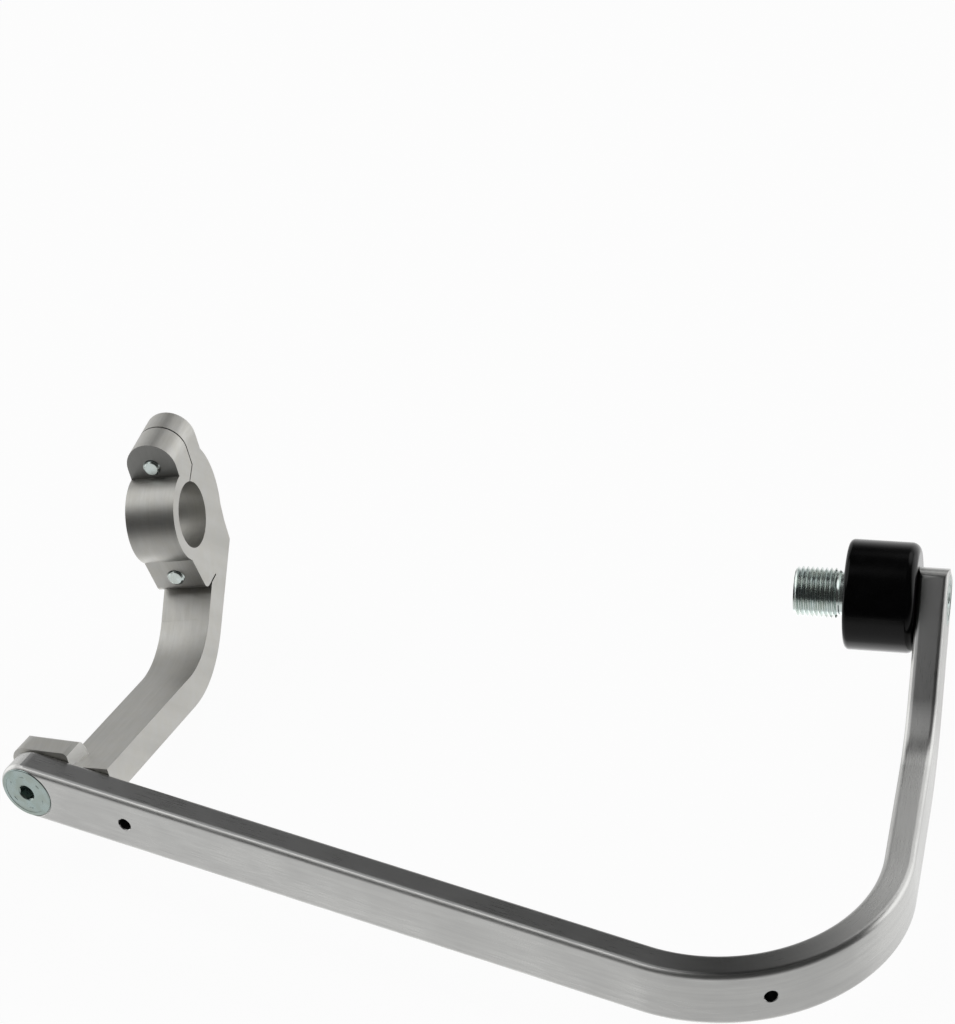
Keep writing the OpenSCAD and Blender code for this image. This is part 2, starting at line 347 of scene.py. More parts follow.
def cone(name: str, low: float, high: float, length: float, sides: int = ROUND) -> Shape:
    """Add a cone that stands on the origin, with its two radii in millimetres."""
    clear_selection()
    bpy.ops.mesh.primitive_cone_add(
        vertices=sides, radius1=low * MM, radius2=high * MM, depth=length * MM,
        location=(0, 0, length * MM / 2),
    )
    shape = take(name)
    fix_place(shape)
    return shape


def fix_place(shape: Shape) -> None:
    """Move a shape's place into its mesh, so that its object is at the origin."""
    make_active(shape)
    bpy.ops.object.transform_apply(location=True, rotation=True, scale=True)


def put(shape: Shape, frame: Matrix) -> Shape:
    """Carry a shape from its own axes to a frame, into its mesh."""
    shape.matrix_world = frame
    fix_place(shape)
    return shape


def combine(shape: Shape, tool: Shape, cut: Cut) -> None:
    """Apply a boolean of one shape on another, and remove the tool.

    Args:
        shape: The shape that is changed.
        tool: The shape that cuts it or joins it.
        cut: Whether the tool is taken away or joined on.
    """
    modify(shape, "BOOLEAN", operation=cut.value, object=tool, solver="MANIFOLD")
    bpy.data.objects.remove(tool)


def smooth(shape: Shape, degrees: float = 30.0) -> None:
    """Merge the corners that coincide, and shade a shape smooth up to an angle."""
    with Bench(shape) as bench:
        bench.pick_all()
        bpy.ops.mesh.remove_doubles(threshold=TINY / 10)
    bpy.ops.object.shade_smooth_by_angle(angle=math.radians(degrees))
    modify(shape, "WEIGHTED_NORMAL", keep_sharp=True, weight=80)


def solid_copy(frame: dict, node: str, name: str) -> Shape:
    """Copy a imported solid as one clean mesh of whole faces.

    Args:
        node: The solid's node.
        name: Name of the new shape.

    Returns:
        The copy, with its triangles merged into flat faces.
    """
    source = frame["nodes"][node]
    shape = bpy.data.objects.new(name, source.data.copy())
    shape.data.name = name
    bpy.context.scene.collection.objects.link(shape)
    shape.data.materials.clear()
    with Bench(shape) as bench:
        bench.pick_all()
        bpy.ops.mesh.customdata_custom_splitnormals_clear()
        bpy.ops.mesh.remove_doubles(threshold=2 * TINY)
        bpy.ops.mesh.dissolve_limited(angle_limit=math.radians(0.6))
    return shape


def grey(level: float) -> tuple:
    """Return a grey as a colour with full alpha."""
    return level, level, level, 1.0


def radius_of(point: Vector) -> float:
    """Return a point's distance from the Z axis."""
    return math.hypot(point.x, point.y)


@dataclass(frozen=True)
class Layer:
    """One layer of noise, with the range of its values that is spread from 0 to 1."""

    detail: float
    rough: float
    low: float = 0.0
    high: float = 1.0
    scale: float = 1.0


class Nodes:
    """Small helper that adds and links the nodes of one tree."""

    def __init__(self, tree: bpy.types.NodeTree) -> None:
        """Take the tree to build in."""
        self.tree = tree

    def add(self, kind: str, **values: object) -> bpy.types.Node:
        """Add a node and set its properties by name."""
        node = self.tree.nodes.new(kind)
        for key, value in values.items():
            setattr(node, key, value)
        return node

    def link(self, source: Socket, target: Socket) -> None:
        """Link an output to an input."""
        self.tree.links.new(source, target)

    def value(self, target: Socket, source: object) -> None:
        """Link a socket, or set a plain value, on an input."""
        if isinstance(source, Socket):
            self.link(source, target)
        else:
            target.default_value = source

    def maths(self, operation: str, *inputs: object, clamp: bool = False) -> Socket:
        """Add a Math node on sockets or numbers, and return its output."""
        node = self.add("ShaderNodeMath", operation=operation, use_clamp=clamp)
        for slot, given in zip(node.inputs, inputs):
            self.value(slot, given)
        return node.outputs[0]

    def dot(self, first: object, second: object) -> Socket:
        """Add a dot product of two vectors, and return its value."""
        node = self.add("ShaderNodeVectorMath", operation="DOT_PRODUCT")
        self.value(node.inputs[0], first)
        self.value(node.inputs[1], second)
        return node.outputs["Value"]

    def apart(self, vector: Socket) -> bpy.types.NodeOutputs:
        """Split a vector, and return its three parts."""
        node = self.add("ShaderNodeSeparateXYZ")
        self.link(vector, node.inputs[0])
        return node.outputs

    def joined(self, *parts: object) -> Socket:
        """Join up to three parts to one vector, and return it."""
        node = self.add("ShaderNodeCombineXYZ")
        for slot, part in zip(node.inputs, parts):
            self.value(slot, part)
        return node.outputs[0]

    def spread(self, source: object, low: float, high: float, new_low: float = 0.0,
               new_high: float = 1.0) -> Socket:
        """Map a range onto another with clamping, and return the output."""
        node = self.add("ShaderNodeMapRange", interpolation_type="SMOOTHSTEP")
        for slot, given in zip(node.inputs, (source, low, high, new_low, new_high)):
            self.value(slot, given)
        return node.outputs[0]

    def blend(self, factor: object, first: object, second: object) -> Socket:
        """Mix two colours by a factor, and return the colour."""
        node = self.add("ShaderNodeMix", data_type="RGBA", blend_type="MIX")
        self.value(node.inputs[0], factor)
        self.value(node.inputs[6], first)
        self.value(node.inputs[7], second)
        return node.outputs[2]

    def noise(self, vector: Socket, layer: Layer) -> Socket:
        """Add a layer's noise texture, and return its value from 0 to 1."""
        node = self.add("ShaderNodeTexNoise")
        self.link(vector, node.inputs["Vector"])
        for label, given in (("Scale", layer.scale), ("Detail", layer.detail), ("Roughness", layer.rough)):
            node.inputs[label].default_value = given
        return node.outputs["Fac"]

    def layer(self, vector: Socket, layer: Layer) -> Socket:
        """Add a layer's noise, spread from its low to its high end."""
        return self.spread(self.noise(vector, layer), layer.low, layer.high)


def new_group(name: str, inputs: dict[str, tuple[str, object]], outputs: dict[str, str]) -> tuple:
    """Make a shader node group with named sockets.

    Args:
        name: Name of the group.
        inputs: Socket type and default value for each input name.
        outputs: Socket type for each output name.

    Returns:
        The group, its helper, its input node and its output node.
    """
    group = bpy.data.node_groups.new(name, "ShaderNodeTree")
    for label, (kind, default) in inputs.items():
        socket = group.interface.new_socket(name=label, in_out="INPUT", socket_type=kind)
        if default is not None:
            socket.default_value = default
    for label, kind in outputs.items():
        group.interface.new_socket(name=label, in_out="OUTPUT", socket_type=kind)
    made = Nodes(group)
    return group, made, made.add("NodeGroupInput"), made.add("NodeGroupOutput")


# How wide a streak is as a share of its length. Scratches are noise with this
# scale along them, each layer turned by three angles in radians and with its
# own scale across.
STREAK_LENGTH = 0.03
SCRATCH_LENGTH = 26.0
SCRATCHES = (((0.5, 0.9, 0.3), 420.0), ((-0.4, 0.2, 1.2), 300.0), ((1.1, -0.7, 0.6), 510.0))


def grain_group() -> bpy.types.NodeTree:
    """Make the directional grain of brushed or milled metal.

    Returns:
        A group that takes a vector whose X runs along the grain, the counts
        of lines and streaks for each metre across it, and how wide a line is
        as a share of its length.
    """
    group, made, source, sink = new_group(
        "directional grain",
        {
            "Vector": ("NodeSocketVector", None),
            "Lines": ("NodeSocketFloat", 5200.0),
            "Line Length": ("NodeSocketFloat", 0.035),
            "Streaks": ("NodeSocketFloat", 620.0),
        },
        {"Lines": "NodeSocketFloat", "Streaks": "NodeSocketFloat"},
    )
    parts = made.apart(source.outputs["Vector"])
    for label, share, layer in (
        ("Lines", source.outputs["Line Length"], Layer(3.0, 0.65, 0.25, 0.75)),
        ("Streaks", STREAK_LENGTH, Layer(3.0, 0.6, 0.28, 0.72)),
    ):
        across = [made.maths("MULTIPLY", part, source.outputs[label]) for part in parts]
        stretched = made.joined(made.maths("MULTIPLY", across[0], share), *across[1:])
        made.link(made.layer(stretched, layer), sink.inputs[label])
    return group


def handling_group() -> bpy.types.NodeTree:
    """Make the cloudy tone and the fine stray scratches of a handled part.

    Returns:
        A group that puts out clouds, blotches and scratches from 0 to 1.
    """
    group, made, source, sink = new_group(
        "handling marks",
        {"Vector": ("NodeSocketVector", None)},
        {"Clouds": "NodeSocketFloat", "Blotches": "NodeSocketFloat", "Scratches": "NodeSocketFloat"},
    )
    vector = source.outputs["Vector"]
    made.link(made.layer(vector, Layer(4.0, 0.55, 0.3, 0.7, scale=34.0)), sink.inputs["Clouds"])
    made.link(made.layer(vector, Layer(5.0, 0.6, 0.32, 0.68, scale=260.0)), sink.inputs["Blotches"])
    scratches = 0.0
    for angles, width in SCRATCHES:
        mapping = made.add("ShaderNodeMapping")
        mapping.inputs["Rotation"].default_value = angles
        mapping.inputs["Scale"].default_value = (SCRATCH_LENGTH, width, width)
        made.link(vector, mapping.inputs["Vector"])
        line = made.layer(mapping.outputs[0], Layer(2.0, 0.5, 0.73, 0.78))
        scratches = made.maths("MAXIMUM", scratches, line)
    made.link(scratches, sink.inputs["Scratches"])
    return group


class Groups:
    """The shader groups that several finishes share, each built once."""

    def __init__(self) -> None:
        """Build the groups."""
        self.grain = grain_group()
        self.handling = handling_group()


class Surface:
    """One material in the making: its tree, its shader and shared effects."""

    def __init__(self, name: str, groups: Groups) -> None:
        """Start a material that has only a Principled shader.

        Args:
            name: Name of the material.
            groups: The shared shader groups.
        """
        self.material = bpy.data.materials.new(name)
        self.material.use_nodes = True
        tree = self.material.node_tree
        tree.nodes.clear()
        self.made = Nodes(tree)
        self.groups = groups
        self.shader = self.made.add("ShaderNodeBsdfPrincipled")
        output = self.made.add("ShaderNodeOutputMaterial")
        self.made.link(self.shader.outputs[0], output.inputs["Surface"])

    def place(self) -> Socket:
        """Return the object coordinates."""
        return self.made.add("ShaderNodeTexCoord").outputs["Object"]

    def attribute(self, name: str) -> Socket:
        """Return a vector attribute of the mesh."""
        return self.made.add("ShaderNodeAttribute", attribute_name=name).outputs["Vector"]

    def mask(self, name: str) -> Socket:
        """Return a number stored on the mesh's faces."""
        return self.made.add("ShaderNodeAttribute", attribute_name=name).outputs["Fac"]

    def turned(self, vector: Socket, frame: Matrix) -> Socket:
        """Return a vector seen in a frame's own axes."""
        mapping = self.made.add("ShaderNodeMapping", vector_type="POINT")
        inverse = frame.inverted()
        mapping.inputs["Rotation"].default_value = inverse.to_euler("XYZ")
        mapping.inputs["Location"].default_value = inverse.to_translation()
        self.made.link(vector, mapping.inputs["Vector"])
        return mapping.outputs[0]

    def shared(self, group: bpy.types.NodeTree, vector: Socket, **values: float) -> bpy.types.NodeOutputs:
        """Add a shared group on a vector, and return its outputs.

        Args:
            group: The group.
            vector: What its Vector input takes.
            values: Its other inputs, named with underscores for spaces.
        """
        node = self.made.add("ShaderNodeGroup", node_tree=group)
        self.made.link(vector, node.inputs["Vector"])
        for key, value in values.items():
            node.inputs[key.replace("_", " ").title()].default_value = value
        return node.outputs

    def handling(self, vector: Socket) -> bpy.types.NodeOutputs:
        """Add the shared handling marks."""
        return self.shared(self.groups.handling, vector)

    def bump(self, height: Socket, strength: float, distance: float) -> Socket:
        """Add a Bump node with a distance in metres, and return its normal."""
        node = self.made.add("ShaderNodeBump")
        node.inputs["Strength"].default_value = strength
        node.inputs["Distance"].default_value = distance
        self.made.link(height, node.inputs["Height"])
        return node.outputs["Normal"]

    def feed(self, **sources: object) -> None:
        """Link or set the shader's inputs, named with underscores for spaces."""
        names = {"base_color": "Base Color", "specular_ior_level": "Specular IOR Level"}
        for key, source in sources.items():
            label = names.get(key, key.replace("_", " ").title())
            self.made.value(self.shader.inputs[label], source)


@dataclass(frozen=True)
class BrushedBarFinish:
    """Satin aluminium, brushed along the bar's own centre line."""

    light: tuple = (0.58, 0.58, 0.565, 1.0)
    dark: tuple = (0.50, 0.50, 0.49, 1.0)
    mark: tuple = (0.43, 0.43, 0.44, 1.0)
    # Painted shade colour for the walls of the drilled holes.
    hole_wall_shade: tuple = (0.03, 0.03, 0.03, 1.0)
    # Painted shade colour for the narrow faces.
    narrow_shade: tuple = (0.19, 0.19, 0.19, 1.0)
    roughness: float = 0.24
    lines: float = 5200.0
    line_length: float = 0.02
    streaks: float = 700.0
    streak_tone: float = 0.55
    cloud_tone: float = 0.3
    line_tone: float = 0.2
    scratch_tone: float = 0.2
    narrow_shade_tone: float = 0.8
    line_rough: float = 0.10
    cloud_rough: float = 0.04
    hollow_rough: float = 0.3
    streak_height: float = 0.35
    depth: float = 0.000006
    stretch: float = 0.85
    stretch_turn: float = 0.25

    def build(self, groups: Groups) -> bpy.types.Material:
        """Build the material from what GuardBar.lay_grain stores on the mesh."""
        surface = Surface("brushed aluminium", groups)
        made = surface.made
        grain = surface.shared(groups.grain, surface.attribute("grain"), lines=self.lines,
                               line_length=self.line_length, streaks=self.streaks)
        marks = surface.handling(surface.place())
        tone = made.maths("MULTIPLY_ADD", grain["Streaks"], self.streak_tone,
                          made.maths("MULTIPLY", marks["Clouds"], self.cloud_tone))
        tone = made.maths("MULTIPLY_ADD", grain["Lines"], self.line_tone, tone, clamp=True)
        colour = made.blend(tone, self.light, self.dark)
        scratch = made.maths("MULTIPLY", marks["Scratches"], self.scratch_tone)
        colour = made.blend(scratch, colour, self.mark)
        rough = made.maths("MULTIPLY_ADD", grain["Lines"], self.line_rough, self.roughness)
        rough = made.maths("MULTIPLY_ADD", marks["Clouds"], self.cloud_rough, rough)
        # Painted shade: the walls of the drilled holes are darkened towards black and made rougher.
        hollow = surface.mask("hollow")
        colour = made.blend(hollow, colour, self.hole_wall_shade)
        rough = made.maths("MULTIPLY_ADD", hollow, self.hollow_rough, rough)
        # Painted shade: the narrow faces are darkened, fading out over the main bend, which stays lighter.
        narrow_shade = made.maths("MULTIPLY", surface.mask("narrow_shade"), self.narrow_shade_tone)
        colour = made.blend(narrow_shade, colour, self.narrow_shade)
        height = made.maths("MULTIPLY_ADD", grain["Streaks"], self.streak_height, grain["Lines"])
        surface.feed(metallic=1.0, base_color=colour, roughness=rough,
                     normal=surface.bump(height, 1.0, self.depth), anisotropic=self.stretch,
                     anisotropic_rotation=self.stretch_turn, tangent=surface.attribute("ahead"))
        return surface.material


@dataclass(frozen=True)
class MilledArmFinish:
    """Satin aluminium with fine tool lines along the arm's side profile."""

    frame: Matrix
    light: tuple = (0.51, 0.506, 0.484, 1.0)
    dark: tuple = (0.42, 0.417, 0.40, 1.0)
    warm: tuple = (0.45, 0.435, 0.385, 1.0)
    # Painted highlight colour for the seat's end face.
    seat_end_highlight: tuple = (0.84, 0.84, 0.83, 1.0)
    spot: tuple = (0.26, 0.26, 0.25, 1.0)
    roughness: float = 0.40
    lines: float = 3600.0
    line_length: float = 0.03
    streaks: float = 900.0
    streak_tone: float = 0.4
    cloud_tone: float = 0.5
    blotch_tone: float = 0.35
    line_rough: float = 0.10
    line_height: float = 0.8
    speckle: Layer = Layer(2.0, 0.6, scale=5200.0)
    relief: float = 0.32
    depth: float = 0.00003

    def build(self, groups: Groups) -> bpy.types.Material:
        """Build the material in the clamp's own axes."""
        surface = Surface("milled aluminium", groups)
        made = surface.made
        own = surface.turned(surface.place(), self.frame)
        parts = made.apart(own)
        crossed = made.joined(made.maths("ADD", parts[2], parts[1]), parts[0])
        grain = surface.shared(groups.grain, crossed, lines=self.lines, line_length=self.line_length,
                               streaks=self.streaks)
        marks = surface.handling(own)
        tone = made.maths("MULTIPLY_ADD", grain["Streaks"], self.streak_tone,
                          made.maths("MULTIPLY", marks["Clouds"], self.cloud_tone), clamp=True)
        colour = made.blend(tone, self.light, self.dark)
        colour = made.blend(made.maths("MULTIPLY", marks["Blotches"], self.blotch_tone), colour, self.warm)
        told = surface.mask("tone")
        # Painted highlight: the seat's end face is lifted to a near-white colour.
        colour = made.blend(made.maths("MAXIMUM", told, 0.0), colour, self.seat_end_highlight)
        # The spot face round the upper screw is darkened.
        colour = made.blend(made.maths("MULTIPLY", told, -1.0, clamp=True), colour, self.spot)
        rough = made.maths("MULTIPLY_ADD", grain["Lines"], self.line_rough, self.roughness)
        height = made.maths("MULTIPLY_ADD", grain["Lines"], self.line_height,
                            made.noise(own, self.speckle))
        surface.feed(metallic=1.0, base_color=colour, roughness=rough,
                     normal=surface.bump(height, self.relief, self.depth))
        return surface.material


@dataclass(frozen=True)
class ZincFinish:
    """Zinc plating with a faint cold tinge, dulled by default."""

    name: str = "dull zinc"
    pale: tuple = (0.36, 0.42, 0.41, 1.0)
    cold: tuple = (0.25, 0.33, 0.32, 1.0)
    tinge: tuple = (0.33, 0.36, 0.29, 1.0)
    roughness: float = 0.24
    blotch_tone: float = 0.4
    blotch_rough: float = 0.14
    speckle: Layer = Layer(3.0, 0.6, scale=3800.0)
    relief: float = 0.18
    depth: float = 0.00003

    def build(self, groups: Groups) -> bpy.types.Material:
        """Build the material on object coordinates."""
        surface = Surface(self.name, groups)
        made = surface.made
        place = surface.place()
        marks = surface.handling(place)
        colour = made.blend(marks["Clouds"], self.pale, self.cold)
        colour = made.blend(made.maths("MULTIPLY", marks["Blotches"], self.blotch_tone), colour, self.tinge)
        rough = made.maths("MULTIPLY_ADD", marks["Blotches"], self.blotch_rough, self.roughness)
        normal = surface.bump(made.noise(place, self.speckle), self.relief, self.depth)
        surface.feed(metallic=1.0, base_color=colour, roughness=rough, normal=normal)
        return surface.material


@dataclass(frozen=True)
class GlossBlackFinish:
    """Deep black gloss over a smooth turned piece."""

    colour: tuple = (0.0012, 0.0012, 0.0013, 1.0)
    dust: tuple = (0.004, 0.004, 0.0042, 1.0)
    roughness: float = 0.12
    mirror: float = 0.16
    blotch_tone: float = 0.5
    cloud_rough: float = 0.06
    scratch_rough: float = 0.10
    speckle: Layer = Layer(2.0, 0.5, scale=900.0)
    relief: float = 0.06
    depth: float = 0.00004

    def build(self, groups: Groups) -> bpy.types.Material:
        """Build the material on object coordinates."""
        surface = Surface("gloss black", groups)
        made = surface.made
        place = surface.place()
        marks = surface.handling(place)
        blotches = made.maths("MULTIPLY", marks["Blotches"], self.blotch_tone)
        colour = made.blend(blotches, self.colour, self.dust)
        rough = made.maths("MULTIPLY_ADD", marks["Clouds"], self.cloud_rough, self.roughness)
        rough = made.maths("MULTIPLY_ADD", marks["Scratches"], self.scratch_rough, rough)
        normal = surface.bump(made.noise(place, self.speckle), self.relief, self.depth)
        surface.feed(base_color=colour, roughness=rough, normal=normal, specular_ior_level=self.mirror)
        return surface.material


@dataclass(frozen=True)
class Finishes:
    """The finished materials of the guard."""

    bar: bpy.types.Material
    arm: bpy.types.Material
    zinc: bpy.types.Material
    bright: bpy.types.Material
    black: bpy.types.Material


def dress(piece: Shape, finish: bpy.types.Material, slot: Slot, *nodes: str) -> Shape:
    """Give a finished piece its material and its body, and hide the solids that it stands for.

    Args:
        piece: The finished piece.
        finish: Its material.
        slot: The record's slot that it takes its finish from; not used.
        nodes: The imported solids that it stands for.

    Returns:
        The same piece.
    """
    piece.data.materials.clear()
    piece.data.materials.append(finish)
    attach(piece, "root")
    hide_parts(*nodes)
    LOG.info("%s stands for %s with %d faces", piece.name, ", ".join(nodes), len(piece.data.polygons))
    return piece


@dataclass
class GuardBar:
    """The bent flat bar, from its round inner end to its cut outer end.

    Widths are in millimetres and angles in degrees. The angles that start and end
    the fade are places on the main bend, over which the narrow faces' painted shade
    fades out, and the angle where it comes back is one on the upward bend.
    """

    sizes: GuardSizes
    edge_steps: int = 6
    bend_steps: int = 64
    rise_steps: int = 20
    rim: float = 0.25
    tip_edge: float = 0.4
    tip_steps: int = 9
    shade_fade_start: float = 25.0
    shade_fade_end: float = 95.0
    shade_return_start: float = 4.0
    narrow_margin: float = 0.2
    rim_angle: float = 60.0
    tip_angle: float = 30.0
    tip_edge_steps: int = 3

    def build(self) -> Shape:
        """Model the bar in its mid plane frame and carry it to its place.

        Returns:
            The finished bar.
        """
        bar = self.nose()
        self.sweep(bar)
        self.round_tip(bar)
        self.drill(bar)
        self.lay_grain(bar)
        put(bar, self.sizes.middle)
        smooth(bar)
        return bar

    def nose(self) -> Shape:
        """Turn the round inner end, open towards +X.

        Returns:
            Half of a rounded disc with its cut face closed.
        """
        sizes = self.sizes
        thick = sizes.bar_thickness
        bar = rod("guard_bar_brushed", sizes.bar_height / 2, thick)
        put(bar, turn(90, "X") @ shift(0, 0, -thick / 2))
        side = thick * MM / 2
        with Bench(bar) as bench:
            bench.pick(
                Pick.EDGES,
                lambda e: all(abs(abs(v.co.y) - side) < TINY for v in e.verts)
                and e.calc_face_angle(0.0) > math.radians(self.rim_angle),
            )
            bench.round_edges(sizes.bar_edge * MM, self.edge_steps, clamped=False)
            bench.pick_all()
            bench.slice(Vector((0, 0, 0)), Vector((1, 0, 0)))
        return bar

    def end_face(self, bench: Bench, frame: Matrix) -> None:
        """Select the face that closes the bar at a frame's origin."""
        centre = frame.to_translation()
        ahead = frame.to_3x3() @ Vector((1, 0, 0))
        bench.pick(
            Pick.FACES,
            lambda f: abs((f.calc_center_median() - centre).dot(ahead)) < 20 * TINY
            and f.normal.dot(ahead) > FLAT
            and (f.calc_center_median() - centre).length < self.sizes.bar_height * MM,
        )

    def sweep(self, bar: Shape) -> None:
        """Draw the bar out along its straights and round its bends."""
        sizes = self.sizes
        bend, rise = sizes.after_bend, sizes.after_rise
        bend_start = shift(sizes.front_run, 0, 0)
        with Bench(bar) as bench:
            self.end_face(bench, Matrix())
            bench.pull(sizes.front_run * MM, 0, 0)
            self.end_face(bench, bend_start)
            bpy.ops.mesh.spin(
                steps=self.bend_steps, angle=-math.radians(sizes.bend_angle),
                center=shift(sizes.front_run, sizes.bend_radius, 0).to_translation(), axis=(0, 0, 1),
            )
            self.end_face(bench, bend)
            bench.pull(*(bend.to_3x3() @ Vector((sizes.side_run * MM, 0, 0))))
            self.end_face(bench, bend @ shift(sizes.side_run, 0, 0))
            bpy.ops.mesh.spin(
                steps=self.rise_steps, angle=-math.radians(sizes.rise_angle),
                center=(bend @ shift(sizes.side_run, 0, sizes.rise_radius)).to_translation(),
                axis=bend.to_3x3() @ Vector((0, -1, 0)),
            )
            self.end_face(bench, rise)
            bench.pull(*(rise.to_3x3() @ Vector(((sizes.end_run + sizes.end_over) * MM, 0, 0))))
            bench.tidy()

    def round_tip(self, bar: Shape) -> None:
        """Cut the two corners of the outer end round, and ease its edges."""
        sizes = self.sizes
        rise = sizes.after_rise
        inverse = rise.inverted()
        length = (sizes.end_run + sizes.end_over) * MM
        half = sizes.bar_height * MM / 2
        radius = sizes.end_corner * MM

        def local(vertex: bmesh.types.BMVert) -> Vector:
            """Return a vertex's place in the end run's own frame."""
            return inverse @ vertex.co

        def on_end_run(face: bmesh.types.BMFace) -> bool:
            """Tell whether a face lies on the straight run behind the rise."""
            return all(
                local(v).x > -10 * TINY and abs(local(v).y) < half and abs(local(v).z) < 1.1 * half
                for v in face.verts
            )

        with Bench(bar) as bench:
            for side in (1, -1):
                centre = Vector((length - radius, 0, side * (half - radius)))
                for step in range(self.tip_steps):
                    angle = math.pi / 2 * (step + 0.5) / self.tip_steps
                    normal = Vector((math.sin(angle), 0, side * math.cos(angle)))
                    bench.pick(Pick.FACES, on_end_run)
                    bench.slice(rise @ (centre + normal * radius), rise.to_3x3() @ normal)
            bench.pick(
                Pick.EDGES,
                lambda e: all(local(v).x > length - 1.02 * radius for v in e.verts)
                and len(e.link_faces) == 2
                and e.calc_face_angle(0.0) > math.radians(self.tip_angle),
            )
            bench.round_edges(self.tip_edge * MM, self.tip_edge_steps)

    def drill(self, bar: Shape) -> None:
        """Sink the two bolt seats and drill the two cover holes."""
        sizes = self.sizes
        front = shift(0, -sizes.bar_thickness / 2, 0) @ turn(-90, "X")
        end = sizes.middle.inverted() @ sizes.end_frame
        for frame, head in ((front, sizes.inner_head), (end, sizes.outer_head)):
            seat = CountersunkBolt("seat", sizes.bar_thickness, head / 2, frame).seat_cutter()
            combine(bar, put(seat, frame), Cut.AWAY)
        bend = shift(sizes.front_run, sizes.bend_radius, 0) @ turn(sizes.cover_hole_angle, "Z")
        inner = shift(sizes.cover_hole_x, -sizes.bar_thickness / 2, 0) @ turn(-90, "X")
        outer = bend @ shift(0, -sizes.bend_radius - sizes.bar_thickness / 2, 0) @ turn(-90, "X")
        for frame in (inner, outer):
            combine(bar, put(self.cover_drill(), frame), Cut.AWAY)

    def cover_drill(self) -> Shape:
        """Make the cutter of a cover hole, with its eased rims."""
        sizes = self.sizes
        radius = sizes.cover_hole / 2
        drill = rod("cover_drill", radius, sizes.bar_thickness + 2 * THROUGH, SMALL_ROUND)
        put(drill, shift(0, 0, -THROUGH))
        reach = THROUGH + self.rim
        for flip in (Matrix(), shift(0, 0, sizes.bar_thickness) @ turn(180, "X")):
            ease = cone("cover_ease", radius + reach, radius, reach, SMALL_ROUND)
            combine(drill, put(ease, flip @ shift(0, 0, -THROUGH)), Cut.JOIN)
        return drill

    def path_place(self, point: Vector) -> Vector:
        """Find where a point lies along, across and through the bar.

        Args:
            point: A point in the mid plane frame, in metres.

        Returns:
            Its length along the centre line, its height on the bar's wide
            face and its depth through the bar.
        """
        sizes = self.sizes
        outward = point.x > sizes.front_run * MM / 2
        ahead = sizes.after_rise.inverted() @ point
        if ahead.x >= 0 and abs(ahead.y) < 2 * sizes.bar_thickness * MM and outward:
            return Vector((sizes.rise_end * MM + ahead.x, ahead.z, ahead.y))
        side = sizes.after_bend.inverted() @ point
        if side.x >= sizes.side_run * MM:
            radius = sizes.rise_radius * MM
            out = Vector((side.x - sizes.side_run * MM, radius - side.z))
            angle = math.atan2(out.x, out.y)
            along = (sizes.bend_end + sizes.side_run) * MM + radius * angle
            return Vector((along, radius - out.length, side.y))
        if side.x >= 0 and outward:
            return Vector((sizes.bend_end * MM + side.x, side.z, side.y))
        if point.x > sizes.front_run * MM:
            radius = sizes.bend_radius * MM
            out = Vector((point.x - sizes.front_run * MM, radius - point.y))
            angle = math.atan2(out.x, out.y)
            return Vector((sizes.front_run * MM + radius * angle, point.z, radius - out.length))
        return Vector((point.x, point.z, point.y))

    def path_ahead(self, along: float) -> Vector:
        """Return the direction of the centre line at a length in metres."""
        sizes = self.sizes
        turned = (along / MM - sizes.front_run) / sizes.bend_radius
        turned = min(max(turned, 0.0), math.radians(sizes.bend_angle))
        lifted = (along / MM - sizes.bend_end - sizes.side_run) / sizes.rise_radius
        lifted = min(max(lifted, 0.0), math.radians(sizes.rise_angle))
        flat = Vector((math.cos(turned), math.sin(turned), 0))
        return flat * math.cos(lifted) + Vector((0, 0, math.sin(lifted)))

    def narrow_shade_left(self, along: float) -> float:
        """Return how much painted shade darkens the narrow faces.

        Args:
            along: Length along the centre line in millimetres.

        Returns:
            A share from 0, on the main bend, where the narrow faces stay unshaded, to 1.
        """
        sizes = self.sizes
        gone = sizes.front_run + sizes.bend_radius * math.radians(self.shade_fade_end)
        start = sizes.front_run + sizes.bend_radius * math.radians(self.shade_fade_start)
        back = sizes.bend_end + sizes.side_run + sizes.rise_radius * math.radians(self.shade_return_start)
        if along < (gone + back) / 2:
            return min(max((gone - along) / (gone - start), 0.0), 1.0)
        return min(max((along - back) / (sizes.rise_end - back), 0.0), 1.0)

    def lay_grain(self, bar: Shape) -> None:
        """Store the place and the direction of the brushing, mark the holes' walls for painted shade, and
        store the narrow faces' painted shade.
        """
        grain = bar.data.attributes.new("grain", "FLOAT_VECTOR", "POINT")
        ahead = bar.data.attributes.new("ahead", "FLOAT_VECTOR", "POINT")
        for vertex in bar.data.vertices:
            place = self.path_place(vertex.co)
            grain.data[vertex.index].vector = place
            ahead.data[vertex.index].vector = self.path_ahead(place.x)
        # Faces of the cover holes' walls, which the finish darkens as painted shade.
        hollow = bar.data.attributes.new("hollow", "FLOAT", "FACE")
        # Painted shade of the narrow faces, as a share for each face.
        narrow_shade = bar.data.attributes.new("narrow_shade", "FLOAT", "FACE")
        sizes = self.sizes
        bend_hole = sizes.front_run + sizes.bend_radius * math.radians(sizes.cover_hole_angle)
        reach = (sizes.cover_hole / 2 + self.rim / 2) * MM
        inner = sizes.bar_thickness * MM / 2 - self.rim * MM / 2
        for face in bar.data.polygons:
            place = self.path_place(face.center)
            if abs(place.y) > (sizes.bar_height / 2 - self.narrow_margin) * MM:
                narrow_shade.data[face.index].value = self.narrow_shade_left(place.x / MM)
            for along in (sizes.cover_hole_x, bend_hole):
                if math.hypot(place.x - along * MM, place.y) < reach and abs(place.z) < inner:
                    hollow.data[face.index].value = 1.0


